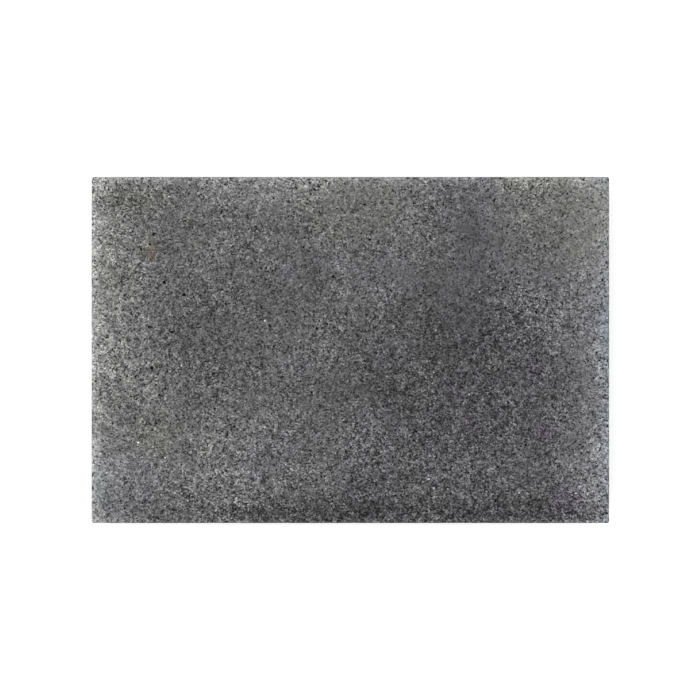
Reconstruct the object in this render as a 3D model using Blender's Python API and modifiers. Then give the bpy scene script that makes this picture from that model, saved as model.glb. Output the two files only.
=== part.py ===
"""A basalt massage stone: one sawn and honed slab that lies flat.

The frame is +X along the long side, +Y along the short side and +Z up through the
thickness. The origin is the middle of the underside, where the stone rests. Sizes are
in metres. The stone is a single piece: it has no fittings and nothing in it moves.
"""

import bmesh
import bpy
from mathutils import Vector

# Driving sizes
SLAB_LENGTH = 0.1495
SLAB_WIDTH = 0.1000
SLAB_THICKNESS = 0.0200
ARRIS_RADIUS = 0.0005  # the eased edge, rubbed by hand where two sawn faces meet
ARRIS_STEPS = 3

# Finish of the honed stone
BASALT_COLOUR = (0.118, 0.118, 0.120, 1.0)
BASALT_ROUGHNESS = 0.72
BASALT_METALLIC = 0.0

COLLECTION_NAME = "basalt_massage_stone"


def clear_scene():
    for old in list(bpy.data.objects):
        bpy.data.objects.remove(old, do_unlink=True)


def make_collection(name):
    collection = bpy.data.collections.new(name)
    bpy.context.scene.collection.children.link(collection)
    return collection


def basalt_material():
    material = bpy.data.materials.new("honed_basalt")
    material.use_nodes = True
    material.diffuse_color = BASALT_COLOUR
    shader = material.node_tree.nodes["Principled BSDF"]
    shader.inputs["Base Color"].default_value = BASALT_COLOUR
    shader.inputs["Roughness"].default_value = BASALT_ROUGHNESS
    shader.inputs["Metallic"].default_value = BASALT_METALLIC
    return material


def block_mesh(name, size):
    """A plain block of this size, standing on the plane through its own origin."""
    shape = bmesh.new()
    bmesh.ops.create_cube(shape, size=1.0)
    bmesh.ops.scale(shape, vec=size, verts=shape.verts)
    bmesh.ops.translate(shape, vec=(0.0, 0.0, size.z / 2), verts=shape.verts)
    mesh = bpy.data.meshes.new(name)
    shape.to_mesh(mesh)
    shape.free()
    return mesh


def ease_edges(obj, radius, steps):
    """Rounds every edge and corner of the block alike."""
    bevel = obj.modifiers.new("arris", "BEVEL")
    bevel.width = radius
    bevel.segments = steps
    bevel.limit_method = "NONE"
    bevel.use_clamp_overlap = True


def make_stone_slab(collection):
    size = Vector((SLAB_LENGTH, SLAB_WIDTH, SLAB_THICKNESS))
    mesh = block_mesh("stone_slab", size)
    mesh.materials.append(basalt_material())
    slab = bpy.data.objects.new("stone_slab", mesh)
    collection.objects.link(slab)
    ease_edges(slab, ARRIS_RADIUS, ARRIS_STEPS)
    return slab


def main():
    clear_scene()
    collection = make_collection(COLLECTION_NAME)
    make_stone_slab(collection)


main()
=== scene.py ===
# Basalt massage stone: the looks of one sawn slab with a honed face, lying on a pale table.
# Everything is in metres, in the frame of the CAD slab.

import math

import bpy
import numpy as np
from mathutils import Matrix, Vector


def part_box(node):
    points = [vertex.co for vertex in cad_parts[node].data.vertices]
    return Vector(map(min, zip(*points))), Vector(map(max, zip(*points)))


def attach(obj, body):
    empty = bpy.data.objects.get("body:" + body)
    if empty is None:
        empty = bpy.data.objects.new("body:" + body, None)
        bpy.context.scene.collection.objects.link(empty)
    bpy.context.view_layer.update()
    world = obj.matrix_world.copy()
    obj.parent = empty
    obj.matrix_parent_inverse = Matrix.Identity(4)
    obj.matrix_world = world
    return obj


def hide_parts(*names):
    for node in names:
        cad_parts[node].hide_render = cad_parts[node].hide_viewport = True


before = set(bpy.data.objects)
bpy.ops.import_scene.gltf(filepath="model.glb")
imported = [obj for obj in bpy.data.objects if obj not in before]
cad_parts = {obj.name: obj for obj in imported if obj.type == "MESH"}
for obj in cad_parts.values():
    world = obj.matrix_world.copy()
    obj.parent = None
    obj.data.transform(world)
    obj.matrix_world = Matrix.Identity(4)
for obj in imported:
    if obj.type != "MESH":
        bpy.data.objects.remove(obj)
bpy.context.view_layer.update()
slabLow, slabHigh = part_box("stone_slab")
slabSize = slabHigh - slabLow
slabMiddle = (slabLow + slabHigh) / 2
halfSize = slabSize / 2
print("frame: slab of", [round(side * 1000, 1) for side in slabSize], "mm")


# small helpers for node trees, used by the mesh and the materials alike

def join(tree, source, socket):
    # a socket or a node is linked, anything else becomes the socket's own value
    if isinstance(source, bpy.types.Node):
        source = source.outputs[0]
    if isinstance(source, bpy.types.NodeSocket):
        tree.links.new(source, socket)
    else:
        socket.default_value = source


def addNode(tree, kind, sockets=None, **settings):
    node = tree.nodes.new(kind)
    for name, value in settings.items():
        setattr(node, name, value)
    for name, source in (sockets or {}).items():
        join(tree, source, node.inputs[name])
    return node


def newTree(name, kind, inputs, outputs):
    tree = bpy.data.node_groups.new(name, kind)
    for label, (socketType, start) in inputs.items():
        socket = tree.interface.new_socket(label, in_out="INPUT", socket_type=socketType)
        if start is not None:
            socket.default_value = start
    for label, socketType in outputs.items():
        tree.interface.new_socket(label, in_out="OUTPUT", socket_type=socketType)
    given = tree.nodes.new("NodeGroupInput").outputs
    result = tree.nodes.new("NodeGroupOutput").inputs
    return tree, given, result


def maths(tree, operation, *values):
    node = addNode(tree, "ShaderNodeMath", operation=operation)
    for socket, value in zip(node.inputs, values):
        join(tree, value, socket)
    return node.outputs["Value"]


def vectorMaths(tree, operation, *values):
    node = addNode(tree, "ShaderNodeVectorMath", operation=operation)
    for socket, value in zip(node.inputs, values):
        join(tree, value, socket)
    return node.outputs["Vector"]


def scaled(tree, vector, factor):
    node = addNode(tree, "ShaderNodeVectorMath", {0: vector, "Scale": factor}, operation="SCALE")
    return node.outputs["Vector"]


def lengthOf(tree, vector):
    return addNode(tree, "ShaderNodeVectorMath", {0: vector}, operation="LENGTH").outputs["Value"]


def aboutMiddle(tree, colour):
    # noise as a push either way
    return vectorMaths(tree, "SUBTRACT", colour, (0.5, 0.5, 0.5))


def logic(tree, operation, first, second):
    return addNode(tree, "FunctionNodeBooleanMath", {0: first, 1: second}, operation=operation)


def axes(tree, vector):
    return addNode(tree, "ShaderNodeSeparateXYZ", {"Vector": vector}).outputs


def alike(tree, value):
    return addNode(tree, "ShaderNodeCombineXYZ", {"X": value, "Y": value, "Z": value}).outputs[0]


def remap(tree, value, fromLow, fromHigh, toLow=0.0, toHigh=1.0, easing="SMOOTHSTEP"):
    node = addNode(tree, "ShaderNodeMapRange", interpolation_type=easing, clamp=True)
    for name, source in (("Value", value), ("From Min", fromLow), ("From Max", fromHigh),
                         ("To Min", toLow), ("To Max", toHigh)):
        join(tree, source, node.inputs[name])
    return node.outputs["Result"]


def noise(tree, where, scale, detail=2.0, roughness=0.5, output="Fac"):
    sockets = {"Scale": scale, "Detail": detail, "Roughness": roughness}
    if where is not None:
        sockets["Vector"] = where
    return addNode(tree, "ShaderNodeTexNoise", sockets).outputs[output]


def largest(tree, vector):
    x, y, z = axes(tree, vector)
    return maths(tree, "MAXIMUM", maths(tree, "MAXIMUM", x, y), z)


# what varies from place to place: how often in one metre, detail, roughness,
# then the part of the noise that is used and what it becomes
unevenSets = {
    "edgeWear": (260.0, 3.0, 0.6, 0.38, 0.78, 0.0, 1.0),
    "bloomAndLightReach": (190.0, 3.0, 0.65, 0.25, 0.75, 0.35, 1.75),
    "arrisWidth": (420.0, 3.0, 0.6, 0.3, 0.7, 0.2, 1.5),
    "crystalContrast": (40.0, 4.0, 0.65, 0.3, 0.7, 0.74, 1.30),
}


def uneven(tree, where, kind, easing="LINEAR"):
    perMetre, detail, roughness, fromLow, fromHigh, toLow, toHigh = unevenSets[kind]
    value = noise(tree, where, perMetre, detail, roughness)
    return remap(tree, value, fromLow, fromHigh, toLow, toHigh, easing)


# the slab's shape, in geometry nodes

slabSet = {
    "sizes": {
        "Cell": 0.0015,  # size of the faces that the flat sides are made of
        "Arris": 0.0005,  # radius of the eased edges
        "Waviness": 0.00004,  # how far a side dips
        "Wear": 0.00045,  # how far the edges are rubbed back at the most
    },
    "edgeRows": 2.0,  # rows of faces that are drawn in to an edge
    "dips": 38.0,  # how often a side dips, in one metre
    "edgeFrom": (0.98, 0.72),  # how squarely a normal faces its side where wear starts, and where it is full
    "smoothBelow": math.radians(28),
    "bakeMargin": 0.004,  # between the sides on the map for baking
}

# hollows in the slab, from the largest to the smallest
hollowSets = {
    "edgeChips": {
        "Apart": 0.0010, "Density": 500000.0, "Smallest": 0.0005, "Largest": 0.0020, "Depth": 0.45,
        "Proud": 0.08, "Facets": 1, "Uneven": 0.00022, "On Arrises": True, "Seed": 11,
        "Lining": "broken",
    },
    "pores": {
        "Apart": 0.0014, "Density": 8000.0, "Smallest": 0.00040, "Largest": 0.0010, "Depth": 0.9,
        "Proud": 0.12, "Facets": 2, "Uneven": 0.00036, "On Arrises": False, "Seed": 23,
        "Lining": "paintedPoreShade",
    },
    "pinholes": {
        "Apart": 0.0007, "Density": 62000.0, "Smallest": 0.00032, "Largest": 0.00070, "Depth": 1.0,
        "Proud": 0.12, "Facets": 1, "Uneven": 0.00022, "On Arrises": False, "Seed": 37,
        "Lining": "paintedPoreShade",
    },
}
hollowShape = {
    "flatAbove": 0.985,  # a normal with more than this along an axis is on a flat side
    "mostlySmall": 2.2,  # 1 gives as many large hollows as small ones
    "narrow": (0.6, 0.6, 0.8),  # the least and the most that each is stretched
    "wide": (1.45, 1.45, 1.2),
    "swayPerMetre": 2600.0,  # how often a hollow's wall changes
    "honedAbove": 0.6,  # a normal that points up more than this is on the honed side
}


def buildBlockTree():
    tree, given, result = newTree(
        "sawnBlock", "GeometryNodeTree",
        {"Geometry": ("NodeSocketGeometry", None), "Size": ("NodeSocketVector", None),
         "Middle": ("NodeSocketVector", None), "Cell": ("NodeSocketFloat", 0.0015),
         "Arris": ("NodeSocketFloat", 0.0005), "Waviness": ("NodeSocketFloat", 0.0),
         "Wear": ("NodeSocketFloat", 0.0), "Stone": ("NodeSocketMaterial", None)},
        {"Geometry": "NodeSocketGeometry"})
    size, arris = given["Size"], given["Arris"]
    half = scaled(tree, size, 0.5)
    cells = vectorMaths(tree, "CEIL", vectorMaths(tree, "DIVIDE", size, alike(tree, given["Cell"])))
    countX, countY, countZ = axes(tree, vectorMaths(tree, "ADD", cells, (1.0, 1.0, 1.0)))
    cube = addNode(tree, "GeometryNodeMeshCube", {"Size": size, "Vertices X": countX,
                                                  "Vertices Y": countY, "Vertices Z": countZ})

    # the rows of cells at each edge are drawn in to the arris, and the rest spread over the side
    position = addNode(tree, "GeometryNodeInputPosition").outputs[0]
    side = vectorMaths(tree, "SIGN", position)
    depth = vectorMaths(tree, "SUBTRACT", half, vectorMaths(tree, "ABSOLUTE", position))
    edgeRows = scaled(tree, vectorMaths(tree, "DIVIDE", size, cells), slabSet["edgeRows"])
    inner = vectorMaths(tree, "SUBTRACT", half, alike(tree, arris))
    inBand = vectorMaths(tree, "MINIMUM", vectorMaths(tree, "DIVIDE", depth, edgeRows), (1.0, 1.0, 1.0))
    pastBand = vectorMaths(tree, "DIVIDE", vectorMaths(tree, "SUBTRACT", depth, edgeRows),
                           vectorMaths(tree, "SUBTRACT", half, edgeRows))
    pastBand = vectorMaths(tree, "MAXIMUM", pastBand, (0.0, 0.0, 0.0))
    newDepth = vectorMaths(tree, "ADD", scaled(tree, inBand, arris),
                           vectorMaths(tree, "MULTIPLY", pastBand, inner))
    spread = vectorMaths(tree, "SUBTRACT", half, newDepth)

    # points outside the inner box go on a quarter round of the arris radius
    core = vectorMaths(tree, "MINIMUM", spread, inner)
    outward = vectorMaths(tree, "NORMALIZE", vectorMaths(tree, "SUBTRACT", spread, core))
    rounded = vectorMaths(tree, "ADD", core, scaled(tree, outward, arris))
    onEdge = remap(tree, largest(tree, outward), *slabSet["edgeFrom"])

    # worn edges and slightly uneven sides, always inwards
    rubbed = maths(tree, "MULTIPLY", onEdge, uneven(tree, position, "edgeWear"))
    wear = maths(tree, "MULTIPLY", rubbed, given["Wear"])
    dip = maths(tree, "MULTIPLY", noise(tree, position, slabSet["dips"], 1.0), given["Waviness"])
    sink = maths(tree, "MULTIPLY", maths(tree, "ADD", wear, dip), -1.0)
    worn = vectorMaths(tree, "ADD", rounded, scaled(tree, outward, sink))
    place = vectorMaths(tree, "ADD", vectorMaths(tree, "MULTIPLY", side, worn), given["Middle"])
    moved = addNode(tree, "GeometryNodeSetPosition", {"Geometry": cube.outputs["Mesh"], "Position": place})
    whole = addNode(tree, "GeometryNodeRealizeInstances", {"Geometry": moved})
    join(tree, addNode(tree, "GeometryNodeSetMaterial", {"Geometry": whole, "Material": given["Stone"]}),
         result["Geometry"])
    return tree


def randomVector(tree, low, high, seed):
    node = addNode(tree, "FunctionNodeRandomValue", {"Seed": seed}, data_type="FLOAT_VECTOR")
    node.inputs["Min"].default_value = low
    node.inputs["Max"].default_value = high
    return node.outputs["Value"]


def buildHollowTree():
    tree, given, result = newTree(
        "groundHollows", "GeometryNodeTree",
        {"Geometry": ("NodeSocketGeometry", None), "Apart": ("NodeSocketFloat", 0.003),
         "Density": ("NodeSocketFloat", 1000.0), "Smallest": ("NodeSocketFloat", 0.0004),
         "Largest": ("NodeSocketFloat", 0.001), "Depth": ("NodeSocketFloat", 0.8),
         "Proud": ("NodeSocketFloat", 0.1), "Facets": ("NodeSocketInt", 1),
         "Uneven": ("NodeSocketFloat", 0.0), "On Arrises": ("NodeSocketBool", False),
         "Seed": ("NodeSocketInt", 1), "Lining": ("NodeSocketMaterial", None),
         "Stone": ("NodeSocketMaterial", None)},
        {"Geometry": "NodeSocketGeometry"})
    # hollows start on the flat sides or on the arrises, and never inside another hollow
    normal = addNode(tree, "GeometryNodeInputNormal").outputs[0]
    flatness = largest(tree, vectorMaths(tree, "ABSOLUTE", normal))
    rounded = addNode(tree, "FunctionNodeCompare", {"A": flatness, "B": hollowShape["flatAbove"]},
                      operation="LESS_THAN")
    wanted = logic(tree, "XNOR", rounded, given["On Arrises"])
    bare = addNode(tree, "GeometryNodeMaterialSelection", {"Material": given["Stone"]})
    free = logic(tree, "AND", wanted, bare)
    spots = addNode(tree, "GeometryNodeDistributePointsOnFaces",
                    {"Mesh": given["Geometry"], "Selection": free, "Distance Min": given["Apart"],
                     "Density Max": given["Density"], "Seed": given["Seed"]},
                    distribute_method="POISSON")

    # most hollows are small and a few are large, each with its own stretch and turn
    chance = axes(tree, randomVector(tree, (0.0, 0.0, 0.0), (1.0, 1.0, 1.0), given["Seed"]))["X"]
    size = remap(tree, maths(tree, "POWER", chance, hollowShape["mostlySmall"]), 0.0, 1.0,
                 given["Smallest"], given["Largest"], "LINEAR")
    flat = addNode(tree, "ShaderNodeCombineXYZ", {"X": 1.0, "Y": 1.0, "Z": given["Depth"]})
    stretch = randomVector(tree, hollowShape["narrow"], hollowShape["wide"],
                           maths(tree, "ADD", given["Seed"], 1))
    twist = randomVector(tree, (0.0, 0.0, 0.0), (0.0, 0.0, 2 * math.pi), maths(tree, "ADD", given["Seed"], 2))
    turned = addNode(tree, "FunctionNodeRotateRotation",
                     {"Rotation": spots.outputs["Rotation"], "Rotate By": twist}, rotation_space="LOCAL")
    lift = scaled(tree, spots.outputs["Normal"], maths(tree, "MULTIPLY", size, given["Proud"]))
    lifted = addNode(tree, "GeometryNodeSetPosition", {"Geometry": spots.outputs["Points"], "Offset": lift})
    blob = addNode(tree, "GeometryNodeMeshIcoSphere", {"Radius": 0.5, "Subdivisions": given["Facets"]})
    placed = addNode(tree, "GeometryNodeInstanceOnPoints", {
        "Points": lifted, "Instance": blob.outputs["Mesh"], "Rotation": turned,
        "Scale": scaled(tree, vectorMaths(tree, "MULTIPLY", stretch, flat), size)})
    blobs = addNode(tree, "GeometryNodeRealizeInstances", {"Geometry": placed})
    sway = aboutMiddle(tree, noise(tree, None, hollowShape["swayPerMetre"], 1.0, output="Color"))
    blobs = addNode(tree, "GeometryNodeSetPosition",
                    {"Geometry": blobs, "Offset": scaled(tree, sway, given["Uneven"])})
    blobs = addNode(tree, "GeometryNodeSetMaterial", {"Geometry": blobs, "Material": given["Lining"]})
    cut = addNode(tree, "GeometryNodeMeshBoolean", operation="DIFFERENCE", solver="MANIFOLD")
    join(tree, given["Geometry"], cut.inputs["Mesh 1"])
    join(tree, blobs, cut.inputs["Mesh 2"])
    join(tree, addNode(tree, "GeometryNodeRealizeInstances", {"Geometry": cut}), result["Geometry"])
    return tree


def buildDressTree():
    # the honed face and the sawn sides get their finishes, and hollows keep their lining, which in the pores
    # is a painted shade
    tree, given, result = newTree(
        "dressSides", "GeometryNodeTree",
        {"Geometry": ("NodeSocketGeometry", None), "Stone": ("NodeSocketMaterial", None),
         "Sawn": ("NodeSocketMaterial", None)},
        {"Geometry": "NodeSocketGeometry"})
    bare = addNode(tree, "GeometryNodeMaterialSelection", {"Material": given["Stone"]})
    up = axes(tree, addNode(tree, "GeometryNodeInputNormal").outputs[0])["Z"]
    notUp = addNode(tree, "FunctionNodeCompare", {"A": up, "B": hollowShape["honedAbove"]},
                    operation="LESS_THAN")
    sawn = logic(tree, "AND", bare, notUp)
    whole = addNode(tree, "GeometryNodeRealizeInstances", {"Geometry": given["Geometry"]})
    join(tree, addNode(tree, "GeometryNodeSetMaterial",
                       {"Geometry": whole, "Selection": sawn, "Material": given["Sawn"]}),
         result["Geometry"])
    return tree


def addTree(piece, name, tree, values):
    # a modifier's inputs are set by the socket's identifier
    modifier = piece.modifiers.new(name, "NODES")
    modifier.node_group = tree
    for item in tree.interface.items_tree:
        if item.item_type == "SOCKET" and item.in_out == "INPUT" and item.name in values:
            modifier[item.identifier] = values[item.name]


def plainMesh(piece, name):
    # the evaluated result becomes the piece's own mesh and the modifiers go
    depsgraph = bpy.context.evaluated_depsgraph_get()
    mesh = bpy.data.meshes.new_from_object(piece.evaluated_get(depsgraph))
    mesh.name = name
    piece.modifiers.clear()
    piece.data = mesh
    return mesh


def layOutSides(mesh):
    # one map for baking: each side is laid flat at the same scale, the narrow ones turned upright
    margin = slabSet["bakeMargin"]
    count = len(mesh.polygons)
    centres = np.empty(count * 3, np.float32)
    mesh.polygons.foreach_get("center", centres)
    centres = centres.reshape(-1, 3) - np.array(slabMiddle)
    half = np.array(halfSize)
    gaps = np.concatenate([half - centres, half + centres], axis=1)  # to +X +Y +Z -X -Y -Z
    nearest = gaps.argmin(axis=1)
    cornerCounts = np.empty(count, np.int32)
    mesh.polygons.foreach_get("loop_total", cornerCounts)
    sideOfCorner = np.repeat(nearest, cornerCounts)
    corners = np.empty(len(mesh.loops), np.int32)
    mesh.loops.foreach_get("vertex_index", corners)
    points = np.empty(len(mesh.vertices) * 3, np.float32)
    mesh.vertices.foreach_get("co", points)
    points = points.reshape(-1, 3)[corners] - np.array(slabLow)
    length, width, thickness = slabSize
    column = margin + length
    # side: (axis across, axis up, corner of its place on the sheet)
    places = {
        2: (0, 1, (margin, margin)),
        5: (0, 1, (margin, 2 * margin + width)),
        1: (2, 0, (column + margin, margin)),
        4: (2, 0, (column + 2 * margin + thickness, margin)),
        0: (2, 1, (column + 3 * margin + 2 * thickness, margin)),
        3: (2, 1, (column + 3 * margin + 2 * thickness, 2 * margin + width)),
    }
    sheet = column + 4 * margin + 3 * thickness
    uv = np.zeros((len(points), 2), np.float32)
    for side, (across, up, corner) in places.items():
        own = sideOfCorner == side
        uv[own, 0] = (points[own, across] + corner[0]) / sheet
        uv[own, 1] = (points[own, up] + corner[1]) / sheet
    bakeMap = mesh.uv_layers.new(name="OFBake")
    bakeMap.data.foreach_set("uv", uv.ravel())


def makeStone(finishes):
    stone = bpy.data.objects.new("basaltStone", bpy.data.meshes.new("stone"))
    bpy.context.scene.collection.objects.link(stone)
    addTree(stone, "block", buildBlockTree(), {**slabSet["sizes"], "Size": slabSize, "Middle": slabMiddle,
                                               "Stone": finishes["honed"]})
    hollowTree = buildHollowTree()
    for name, values in hollowSets.items():
        addTree(stone, name, hollowTree, {**values, "Lining": finishes[values["Lining"]],
                                          "Stone": finishes["honed"]})
    addTree(stone, "dress", buildDressTree(), {"Stone": finishes["honed"], "Sawn": finishes["sawn"]})
    mesh = plainMesh(stone, "basaltStone")
    mesh.shade_smooth()
    mesh.set_sharp_from_angle(angle=slabSet["smoothBelow"])
    layOutSides(mesh)
    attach(stone, "root")
    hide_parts("stone_slab")
    mesh.calc_loop_triangles()
    print("stone:", len(mesh.polygons), "faces,", len(mesh.loop_triangles), "triangles")


# shared effects of the stone's finishes, as shader groups

# the mix of crystals: each kind of fleck has the chance where it starts, where it is full, and its tone
crystalMix = {
    "bend": (1.3, 1.1),  # how often and how far the crystals' borders wander
    "clusters": 0.45,  # this and the next three: how many fit in the width of one crystal
    "network": 0.8,
    "mottle": 0.2,
    "crowd": 0.06,
    "curve": (3.4, 0.35),  # steep at the ends, so that most crystals are near the middle tone
    "darker": -0.5,  # how much more the dark crystals stand out than the light ones
    "crowding": (0.39, 0.61, 4.4, 0.45),  # noise outside and inside a crowd, then how rare the dark are
    "dark": (0.09, 0.04, -0.44),
    "black": (0.022, 0.016, -0.45),
    "light": (0.985, 0.997, 0.05),
    "white": (0.9996, 0.9998, 0.75),
}


def objectPlace(tree):
    return addNode(tree, "ShaderNodeTexCoord").outputs["Object"]


def mixed(tree, factor, first, second):
    # the colour sockets of a Mix node have the same names as its others, so they go by number
    node = addNode(tree, "ShaderNodeMix", {"Factor": factor, 6: first, 7: second}, data_type="RGBA")
    return node.outputs[2]


def buildGrainGroup():
    # crystals as cells of their own brightness, with finer and coarser mottling between them
    tree, given, result = newTree(
        "mineralGrain", "ShaderNodeTree",
        {"Grain": ("NodeSocketFloat", 0.0004), "Crystals": ("NodeSocketFloat", 0.6),
         "Clusters": ("NodeSocketFloat", 0.3), "Network": ("NodeSocketFloat", 0.5),
         "Mottle": ("NodeSocketFloat", 0.5), "Flecks": ("NodeSocketFloat", 1.0),
         "Contrast": ("NodeSocketFloat", 1.0)},
        {"Tone": "NodeSocketFloat", "Chance": "NodeSocketFloat", "Height": "NodeSocketFloat"})
    where = objectPlace(tree)
    perMetre = maths(tree, "DIVIDE", 1.0, given["Grain"])

    def times(factor):
        return maths(tree, "MULTIPLY", perMetre, factor)

    bendOften, bendFar = crystalMix["bend"]
    bend = aboutMiddle(tree, noise(tree, where, times(bendOften), output="Color"))
    bend = scaled(tree, bend, maths(tree, "MULTIPLY", given["Grain"], bendFar))
    bent = vectorMaths(tree, "ADD", where, bend)
    crystal = addNode(tree, "ShaderNodeTexVoronoi", {"Vector": bent, "Scale": perMetre})
    chance = axes(tree, crystal.outputs["Color"])["X"]
    cluster = addNode(tree, "ShaderNodeTexVoronoi", {"Vector": bent, "Scale": times(crystalMix["clusters"])})
    clusterChance = axes(tree, cluster.outputs["Color"])["Y"]
    network = noise(tree, where, times(crystalMix["network"]), 0.0)
    mottle = noise(tree, where, times(crystalMix["mottle"]), 3.0, 0.6)

    # chance is even from 0 to 1, so the square of its swing has a mean of 1/12
    steep, slope = crystalMix["curve"]
    swing = maths(tree, "SUBTRACT", chance, 0.5)
    square = maths(tree, "MULTIPLY", swing, swing)
    curve = maths(tree, "MULTIPLY", swing, maths(tree, "MULTIPLY_ADD", square, steep, slope))
    tone = maths(tree, "MULTIPLY", curve, given["Crystals"])
    offMean = maths(tree, "SUBTRACT", square, 1 / 12)
    tone = maths(tree, "MULTIPLY_ADD", offMean, crystalMix["darker"], tone)
    for part, weight in ((clusterChance, "Clusters"), (network, "Network"), (mottle, "Mottle")):
        tone = maths(tree, "MULTIPLY_ADD", maths(tree, "SUBTRACT", part, 0.5), given[weight], tone)

    # dark crystals come in crowds, a few of them almost black, and a few others are almost white
    crowd = noise(tree, where, times(crystalMix["crowd"]), 3.0, 0.6)
    rarity = maths(tree, "MULTIPLY", chance, remap(tree, crowd, *crystalMix["crowding"], "LINEAR"))
    flecks = 0.0
    for likely, kind in ((rarity, "dark"), (rarity, "black"), (chance, "light"), (chance, "white")):
        start, full, strength = crystalMix[kind]
        flecks = maths(tree, "ADD", flecks, remap(tree, likely, start, full, 0.0, strength, "LINEAR"))
    flecks = maths(tree, "MULTIPLY", flecks, given["Flecks"])
    join(tree, maths(tree, "MULTIPLY_ADD", tone, given["Contrast"], flecks), result["Tone"])
    join(tree, chance, result["Chance"])
    join(tree, maths(tree, "ADD", tone, 0.5), result["Height"])
    return tree


def buildCloudGroup():
    tree, given, result = newTree(
        "cloudyTone", "ShaderNodeTree",
        {"Size": ("NodeSocketFloat", 0.03), "Strength": ("NodeSocketFloat", 0.05),
         "Shift": ("NodeSocketVector", (0.0, 0.0, 0.0))},
        {"Tone": "NodeSocketFloat"})
    where = vectorMaths(tree, "ADD", objectPlace(tree), given["Shift"])
    cloud = noise(tree, where, maths(tree, "DIVIDE", 1.0, given["Size"]), 3.0, 0.55)
    swing = maths(tree, "MULTIPLY", maths(tree, "SUBTRACT", cloud, 0.5), 2.0)
    join(tree, maths(tree, "MULTIPLY", swing, given["Strength"]), result["Tone"])
    return tree


def buildBloomAndLightGroup():
    # a tone that fades from each edge inwards: partly a pale bloom that stone dust and handling leave, partly
    # painted light and shade, such as a lighter back edge and a painted shade along the front edge
    tree, given, result = newTree(
        "edgeBloomAndPaintedLight", "ShaderNodeTree",
        {"Left": ("NodeSocketFloat", 0.2), "Right": ("NodeSocketFloat", 0.2),
         "Back": ("NodeSocketFloat", 0.2), "Front": ("NodeSocketFloat", 0.2),
         "Reach": ("NodeSocketFloat", 0.008), "Half Size": ("NodeSocketVector", None)},
        {"Tone": "NodeSocketFloat", "Near": "NodeSocketFloat"})
    where = objectPlace(tree)
    x, y, _ = axes(tree, where)
    halfX, halfY, _ = axes(tree, given["Half Size"])
    reach = maths(tree, "MULTIPLY", given["Reach"], uneven(tree, where, "bloomAndLightReach"))
    gaps = {"Left": maths(tree, "ADD", halfX, x), "Right": maths(tree, "SUBTRACT", halfX, x),
            "Back": maths(tree, "SUBTRACT", halfY, y), "Front": maths(tree, "ADD", halfY, y)}
    tone = near = 0.0
    for side, gap in gaps.items():
        # in a corner the bloom of one edge hides most of the other's
        fade = maths(tree, "EXPONENT", maths(tree, "MULTIPLY", maths(tree, "DIVIDE", gap, reach), -1.0))
        shown = maths(tree, "MULTIPLY", fade, maths(tree, "SUBTRACT", 1.0, near))
        tone = maths(tree, "MULTIPLY_ADD", shown, given[side], tone)
        near = maths(tree, "MAXIMUM", near, fade)
    join(tree, tone, result["Tone"])
    join(tree, near, result["Near"])
    return tree


def buildPatchGroup():
    # a soft oval with a ragged rim, for darker and paler areas, calmer grain and mineral stains
    tree, given, result = newTree(
        "softPatch", "ShaderNodeTree",
        {"Centre": ("NodeSocketVector", None), "Radii": ("NodeSocketVector", None),
         "Ragged": ("NodeSocketFloat", 0.6), "Fineness": ("NodeSocketFloat", 60.0),
         "Outside": ("NodeSocketFloat", 1.35), "Full": ("NodeSocketFloat", 0.35)},
        {"Mask": "NodeSocketFloat"})
    where = objectPlace(tree)
    away = vectorMaths(tree, "DIVIDE", vectorMaths(tree, "SUBTRACT", where, given["Centre"]), given["Radii"])
    rim = maths(tree, "SUBTRACT", noise(tree, where, given["Fineness"], 3.0, 0.6), 0.5)
    rim = maths(tree, "MULTIPLY", rim, given["Ragged"])
    distance = maths(tree, "ADD", lengthOf(tree, away), rim)
    join(tree, remap(tree, distance, given["Outside"], given["Full"]), result["Mask"])
    return tree


def buildArrisGroup():
    # bruised crystals along the edges: the second smallest gap to the sides is the way to the nearest edge
    tree, given, result = newTree(
        "arrisWear", "ShaderNodeTree",
        {"Half Size": ("NodeSocketVector", None), "Middle": ("NodeSocketVector", None),
         "Width": ("NodeSocketFloat", 0.0008)},
        {"Mask": "NodeSocketFloat"})
    where = objectPlace(tree)
    fromMiddle = vectorMaths(tree, "ABSOLUTE", vectorMaths(tree, "SUBTRACT", where, given["Middle"]))
    x, y, z = axes(tree, vectorMaths(tree, "SUBTRACT", given["Half Size"], fromMiddle))
    lower = maths(tree, "MINIMUM", x, y)
    upper = maths(tree, "MAXIMUM", x, y)
    second = maths(tree, "MAXIMUM", lower, maths(tree, "MINIMUM", upper, z))
    width = maths(tree, "MULTIPLY", given["Width"], uneven(tree, where, "arrisWidth"))
    join(tree, remap(tree, second, width, 0.0), result["Mask"])
    return tree


# the tints, and where along the slab (-1 to 1) they change
tintSet = {"Olive": (1.000, 1.003, 0.983, 1.0), "Lilac": (0.987, 0.982, 1.036, 1.0),
           "Rim": (0.925, 1.0, 1.075, 1.0)}
tintPlaces = {"perMetre": 60.0, "drift": 3.2, "change": (-1.0, 0.9), "rimDrift": 0.09, "rim": (0.93, 1.02)}


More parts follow.
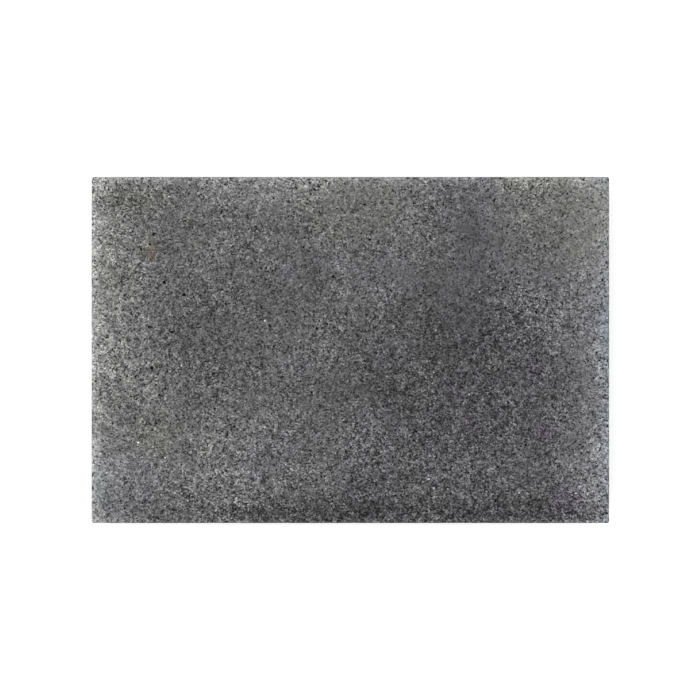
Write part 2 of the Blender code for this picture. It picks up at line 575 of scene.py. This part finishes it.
def buildTintGroup():
    # faint olive and lilac areas, and a bluish rim at the right-hand end
    tree, given, result = newTree(
        "mineralTint", "ShaderNodeTree",
        {"Olive": ("NodeSocketColor", (1, 1, 1, 1)), "Lilac": ("NodeSocketColor", (1, 1, 1, 1)),
         "Rim": ("NodeSocketColor", (1, 1, 1, 1)), "Half Size": ("NodeSocketVector", None)},
        {"Tint": "NodeSocketColor"})
    where = objectPlace(tree)
    along = maths(tree, "DIVIDE", axes(tree, where)["X"], axes(tree, given["Half Size"])["X"])
    drift = maths(tree, "SUBTRACT", noise(tree, where, tintPlaces["perMetre"], 3.0), 0.5)
    drift = maths(tree, "MULTIPLY", drift, tintPlaces["drift"])
    drifted = maths(tree, "ADD", along, drift)
    tint = mixed(tree, remap(tree, drifted, *tintPlaces["change"]), given["Olive"], given["Lilac"])
    rim = maths(tree, "MULTIPLY_ADD", drift, tintPlaces["rimDrift"], along)
    rim = remap(tree, rim, *tintPlaces["rim"])
    join(tree, mixed(tree, rim, tint, given["Rim"]), result["Tint"])
    return tree


def buildSawGroup():
    # a round blade leaves arcs about its own centre, finely and unevenly spaced
    tree, given, result = newTree(
        "sawMarks", "ShaderNodeTree",
        {"Blade Centre": ("NodeSocketVector", None), "Pitch": ("NodeSocketFloat", 0.001),
         "Drift": ("NodeSocketFloat", 14.0)},
        {"Lines": "NodeSocketFloat"})
    where = objectPlace(tree)
    radius = lengthOf(tree, vectorMaths(tree, "SUBTRACT", where, given["Blade Centre"]))
    turns = maths(tree, "DIVIDE", radius, given["Pitch"])
    drift = axes(tree, scaled(tree, where, given["Drift"]))
    track = addNode(tree, "ShaderNodeCombineXYZ", {"X": turns, "Y": drift["X"], "Z": drift["Y"]})
    join(tree, remap(tree, noise(tree, track, 1.0, 2.0, 0.6), 0.35, 0.65, -1.0, 1.0), result["Lines"])
    return tree


shared = {
    "grain": buildGrainGroup(), "cloud": buildCloudGroup(), "bloomAndPaintedLight": buildBloomAndLightGroup(),
    "patch": buildPatchGroup(), "arris": buildArrisGroup(), "tint": buildTintGroup(), "saw": buildSawGroup(),
}
print("effects:", ", ".join(shared))


def effect(tree, name, output, sockets):
    node = addNode(tree, "ShaderNodeGroup", node_tree=shared[name])
    for label, source in sockets.items():
        join(tree, source, node.inputs[label])
    return node.outputs[output] if output else node.outputs


# the finishes

honedSet = {
    "colour": (0.106, 0.106, 0.1068, 1.0),
    "shine": 0.16,
    "roughness": (0.52, 0.74),  # of the glossiest and the dullest crystals
    "grain": {"Grain": 0.00039, "Crystals": 1.16, "Clusters": 0.32, "Network": 0.60, "Mottle": 0.75},
    "relief": 0.00002,
    "clouds": {"Size": 0.05, "Strength": 0.16},
    "smudges": {"Size": 0.011, "Strength": 0.12, "Shift": (0.31, 0.12, 0.0)},
    "edgeContrast": 0.22,  # how much more the crystals stand out in the bloom
    # the wide fade from each edge: partly a pale dust bloom, partly painted light at the back edge and
    # painted shade along the front edge
    "bloomAndPaintedLight": {"Left": 0.40, "Right": 0.40, "Back": 0.12, "Front": -0.12, "Reach": 0.009},
    # a narrow pale rim along each edge: partly rubbed wear, partly a painted highlight on the arris
    "rubbed": {"Left": 0.50, "Right": 0.05, "Back": 0.55, "Front": 0.30, "Reach": 0.0012},
    "patches": {  # where the face is darker or paler: centre, radii and tone
        # a darker area right of the middle, and a darker band along the front edge
        "darkerRightArea": ((0.036, -0.012), (0.038, 0.030), -0.23),
        "darkerFrontBand": ((0.026, -0.0485), (0.074, 0.0058), -0.24),
        "handledLeft": ((-0.044, -0.002), (0.009, 0.022), -0.08),
        "handledBack": ((0.030, 0.038), (0.013, 0.014), -0.10),
        "paleFront": ((-0.052, -0.028), (0.034, 0.018), 0.14),
        "paleBack": ((-0.022, 0.047), (0.022, 0.008), 0.13),
        "earth": ((-0.064, 0.042), (0.012, 0.005), -0.10),
        "frontCorner": ((0.062, -0.043), (0.013, 0.008), -0.12),
        "frontMiddle": ((0.010, -0.040), (0.013, 0.013), -0.11),
        "paleCorner": ((0.068, 0.043), (0.012, 0.010), 0.08),
        "paleLeft": ((-0.067, 0.003), (0.012, 0.014), 0.08),
        "paleRight": ((0.072, -0.004), (0.005, 0.006), 0.08),
        "paleLeftBack": ((-0.070, 0.024), (0.011, 0.018), 0.055),
        "handledCorner": ((-0.070, -0.020), (0.010, 0.009), -0.09),
        "paleRightBack": ((0.070, 0.030), (0.010, 0.009), 0.07),
        "paleMiddleLeft": ((-0.060, -0.006), (0.012, 0.008), 0.07),
    },
    "calm": {  # where the crystals stand out less: centre, radii and how much
        "back": ((0.018, 0.036), (0.048, 0.024), -0.26),
        "backMiddle": ((0.000, 0.044), (0.016, 0.014), -0.22),
        "right": ((0.067, 0.014), (0.012, 0.036), -0.24),
    },
    "stainRim": {"Ragged": 1.2, "Fineness": 400.0},
    "stains": {  # tints of a few spots, each with a centre and radii
        "olive": {"tint": (0.998, 1.001, 0.972), "tone": 0.0, "spots": [
            ((0.0620, 0.0380), (0.0230, 0.0170)), ((0.0010, 0.0400), (0.0230, 0.0130))]},
        "steel": {"tint": (0.990, 0.992, 1.022), "tone": 0.0, "spots": [
            ((-0.0650, -0.0390), (0.0140, 0.0130))]},
        "rust": {"tint": (1.14, 0.99, 0.88), "tone": 0.0, "spots": [((-0.0575, 0.0285), (0.0022, 0.0030))]},
        "ochre": {"tint": (1.003, 1.0, 0.925), "tone": 0.0, "spots": [
            ((0.0540, 0.0480), (0.0130, 0.0035)), ((0.0625, 0.0405), (0.0040, 0.0030)),
            ((-0.0625, 0.0430), (0.0100, 0.0035)), ((-0.0705, 0.0240), (0.0030, 0.0080)),
            ((-0.0560, -0.0245), (0.0050, 0.0060))]},
        "violet": {"tint": (1.035, 0.957, 1.135), "tone": -0.05, "spots": [
            ((0.0620, -0.0437), (0.0050, 0.0045)), ((0.0535, -0.0052), (0.0026, 0.0036)),
            ((0.0560, -0.0235), (0.0045, 0.0030)), ((0.0350, -0.0214), (0.0030, 0.0026)),
            ((0.0304, -0.0121), (0.0030, 0.0026))]},
        "slate": {"tint": (0.945, 1.0, 1.01), "tone": 0.0, "spots": [((-0.0726, -0.0396), (0.0030, 0.0050))]},
    },
}
sawnSet = {
    "colour": (0.112, 0.112, 0.1125, 1.0),
    "shine": 0.12,
    "roughness": (0.70, 0.88),
    "grain": {"Grain": 0.00040, "Crystals": 0.95, "Clusters": 0.25, "Network": 0.50, "Mottle": 0.50},
    "relief": 0.00003,
    "clouds": {"Size": 0.02, "Strength": 0.12},
    "saw": {"Blade Centre": (-0.12, -0.10, 0.15), "Pitch": 0.0011},
    "sawTone": 0.13,
    "sawDepth": 1.6,  # against the height of the crystals
    "arris": 0.22,
}
brokenSet = {
    "colour": (0.105, 0.105, 0.1055, 1.0),
    "shine": 0.12,
    "roughness": (0.75, 0.95),
    "grain": {"Grain": 0.00036, "Crystals": 1.0, "Clusters": 0.25, "Network": 0.5},
}
# the insides of the pores: near black, a painted shade on top of the shade their depth gives
paintedPoreShadeSet = {
    "colour": (0.009, 0.009, 0.009, 1.0),
    "shine": 0.05,
    "roughness": (0.80, 0.95),
    "grain": {"Grain": 0.0002, "Crystals": 1.0, "Network": 0.8, "Flecks": 0.0},
}


def newFinish(name, colour, shine):
    material = bpy.data.materials.new(name)
    material.use_nodes = True
    material.diffuse_color = colour
    tree = material.node_tree
    shader = tree.nodes["Principled BSDF"]
    shader.inputs["Specular IOR Level"].default_value = shine
    return material, tree, shader


toneSet = {
    "darkest": 0.12,  # as a share of the stone's own tone
    "eye": 2.2,  # the power between light and what the eye makes of it
}


def finishStone(tree, shader, values, tone, grain, tint, height=None):
    # tone is added as the eye sees it, so it is raised to a power before it scales the colour
    lit = maths(tree, "MAXIMUM", maths(tree, "ADD", tone, 1.0), toneSet["darkest"])
    shade = scaled(tree, tint, maths(tree, "POWER", lit, toneSet["eye"]))
    join(tree, vectorMaths(tree, "MULTIPLY", shade, values["colour"][:3]), shader.inputs["Base Color"])
    gloss, dull = values["roughness"]
    join(tree, remap(tree, grain["Chance"], 0.0, 1.0, gloss, dull, "LINEAR"), shader.inputs["Roughness"])
    if height is not None:
        bump = addNode(tree, "ShaderNodeBump", {"Strength": 1.0, "Distance": values["relief"],
                                                "Height": height})
        join(tree, bump, shader.inputs["Normal"])


def total(tree, *tones):
    whole = tones[0]
    for tone in tones[1:]:
        whole = maths(tree, "ADD", whole, tone)
    return whole


def patchMask(tree, centre, radii, values):
    # a patch lies on the honed face, so its depth doesn't matter
    return effect(tree, "patch", "Mask", {"Centre": (*centre, slabHigh.z), "Radii": (*radii, 1.0), **values})


def patchTone(tree, patch):
    centre, radii, tone = patch
    return maths(tree, "MULTIPLY", patchMask(tree, centre, radii, {}), tone)


def tintNodes(tree):
    return effect(tree, "tint", "Tint", {**tintSet, "Half Size": halfSize})


def arrisTone(tree, strength):
    mask = effect(tree, "arris", "Mask", {"Half Size": halfSize, "Middle": slabMiddle})
    return maths(tree, "MULTIPLY", mask, strength)


def makeHoned():
    material, tree, shader = newFinish("honedBasalt", honedSet["colour"], honedSet["shine"])
    # the wide edge fade is partly a dust bloom and partly painted light and shade
    bloomAndPaintedLight = effect(tree, "bloomAndPaintedLight", None, {**honedSet["bloomAndPaintedLight"], "Half Size": halfSize})
    # the narrow rims are partly rubbed wear and partly a painted highlight on the arrises
    rubbed = effect(tree, "bloomAndPaintedLight", None, {**honedSet["rubbed"], "Half Size": halfSize})
    clouds = effect(tree, "cloud", "Tone", honedSet["clouds"])
    smudges = effect(tree, "cloud", "Tone", honedSet["smudges"])
    busy = uneven(tree, objectPlace(tree), "crystalContrast", "SMOOTHSTEP")
    calm = [patchTone(tree, patch) for patch in honedSet["calm"].values()]
    contrast = total(tree, maths(tree, "MULTIPLY", bloomAndPaintedLight["Near"], honedSet["edgeContrast"]), busy, *calm)
    grain = effect(tree, "grain", None, {**honedSet["grain"], "Contrast": contrast})
    patches = [patchTone(tree, patch) for patch in honedSet["patches"].values()]
    tone = total(tree, grain["Tone"], clouds, smudges, bloomAndPaintedLight["Tone"], rubbed["Tone"], *patches)
    tint = tintNodes(tree)
    for stain in honedSet["stains"].values():
        mask = 0.0
        for centre, radii in stain["spots"]:
            spot = patchMask(tree, centre, radii, honedSet["stainRim"])
            mask = maths(tree, "MAXIMUM", mask, spot)
        tint = mixed(tree, mask, tint, (*stain["tint"], 1.0))
        tone = maths(tree, "MULTIPLY_ADD", mask, stain["tone"], tone)
    finishStone(tree, shader, honedSet, tone, grain, tint, grain["Height"])
    return material


def makeSawn():
    material, tree, shader = newFinish("sawnBasalt", sawnSet["colour"], sawnSet["shine"])
    grain = effect(tree, "grain", None, sawnSet["grain"])
    lines = effect(tree, "saw", "Lines", sawnSet["saw"])
    clouds = effect(tree, "cloud", "Tone", sawnSet["clouds"])
    tone = total(tree, grain["Tone"], clouds, maths(tree, "MULTIPLY", lines, sawnSet["sawTone"]),
                 arrisTone(tree, sawnSet["arris"]))
    height = maths(tree, "MULTIPLY_ADD", lines, sawnSet["sawDepth"], grain["Height"])
    finishStone(tree, shader, sawnSet, tone, grain, tintNodes(tree), height)
    return material


def makeRough(name, values):
    # broken stone and the insides of pores, whose near-black colour is a painted shade: rough and without
    # handling marks
    material, tree, shader = newFinish(name, values["colour"], values["shine"])
    grain = effect(tree, "grain", None, values["grain"])
    finishStone(tree, shader, values, grain["Tone"], grain, tintNodes(tree))
    return material


# the pores' lining is a painted shade
finishes = {"honed": makeHoned(), "sawn": makeSawn(), "broken": makeRough("brokenBasalt", brokenSet),
            "paintedPoreShade": makeRough("poreLiningPaintedShade", paintedPoreShadeSet)}
print("finishes:", ", ".join(material.name for material in finishes.values()))
makeStone(finishes)


# table, light and camera

tableSet = {"radius": 30.0, "colour": (0.86, 0.86, 0.86, 1.0), "glow": 0.42}
lightSet = {
    "tent": 0.50,  # even light from all round
    # large soft lamps: where each one stands, how wide it looks and how strong it is
    "overhead": {"from": (-0.10, 0.12, 1.0), "angle": math.radians(50), "strength": 1.42},
    "side": {"from": (-0.75, -0.95, 0.85), "angle": math.radians(35), "strength": 0.50},
}
cameraSet = {
    "lens": 100.0,
    "sensor": 36.0,
    "stoneShare": 0.7402,  # how much of the frame's width the slab takes
    "aim": (-0.00010, 0.00001),  # the slab lies this little off the middle of the frame
}


def makeTable():
    mesh = bpy.data.meshes.new("table")
    radius = tableSet["radius"]
    corners = [(x * radius, y * radius, slabLow.z) for x, y in ((-1, -1), (1, -1), (1, 1), (-1, 1))]
    mesh.from_pydata(corners, [], [(0, 1, 2, 3)])
    table = bpy.data.objects.new("table", mesh)
    bpy.context.scene.collection.objects.link(table)
    material, _, shader = newFinish("paleTable", tableSet["colour"], 0.0)
    shader.inputs["Base Color"].default_value = tableSet["colour"]
    shader.inputs["Roughness"].default_value = 1.0
    shader.inputs["Emission Color"].default_value = (1.0, 1.0, 1.0, 1.0)
    shader.inputs["Emission Strength"].default_value = tableSet["glow"]
    mesh.materials.append(material)


def makeLamp(name, values):
    light = bpy.data.lights.new(name, "SUN")
    light.angle = values["angle"]
    light.energy = values["strength"]
    lamp = bpy.data.objects.new(name, light)
    lamp.location = values["from"]
    lamp.rotation_euler = (-lamp.location).to_track_quat("-Z", "Y").to_euler()
    bpy.context.scene.collection.objects.link(lamp)


def makeWorld():
    # an even light tent, white where the camera sees it
    world = bpy.data.worlds.new("lightTent")
    world.use_nodes = True
    tree = world.node_tree
    tree.nodes.clear()
    tent = addNode(tree, "ShaderNodeBackground", {"Strength": lightSet["tent"]})
    backdrop = addNode(tree, "ShaderNodeBackground", {"Strength": 1.0})
    for background in (tent, backdrop):
        background.inputs["Color"].default_value = (1.0, 1.0, 1.0, 1.0)
    seen = addNode(tree, "ShaderNodeLightPath").outputs["Is Camera Ray"]
    mix = addNode(tree, "ShaderNodeMixShader", {0: seen, 1: tent, 2: backdrop})
    addNode(tree, "ShaderNodeOutputWorld", {"Surface": mix})
    bpy.context.scene.world = world


def makeCamera():
    data = bpy.data.cameras.new("camera")
    data.lens = cameraSet["lens"]
    data.sensor_width = cameraSet["sensor"]
    frameWidth = slabSize.x / cameraSet["stoneShare"]
    distance = frameWidth * data.lens / data.sensor_width
    camera = bpy.data.objects.new("camera", data)
    aimX, aimY = cameraSet["aim"]
    camera.location = (slabMiddle.x + aimX, slabMiddle.y + aimY, slabHigh.z + distance)
    bpy.context.scene.collection.objects.link(camera)
    bpy.context.scene.camera = camera


makeTable()
makeLamp("overheadLamp", lightSet["overhead"])
makeLamp("sideLamp", lightSet["side"])
makeWorld()
makeCamera()
bpy.context.scene.view_settings.view_transform = "Standard"
print("table, lights and camera placed")
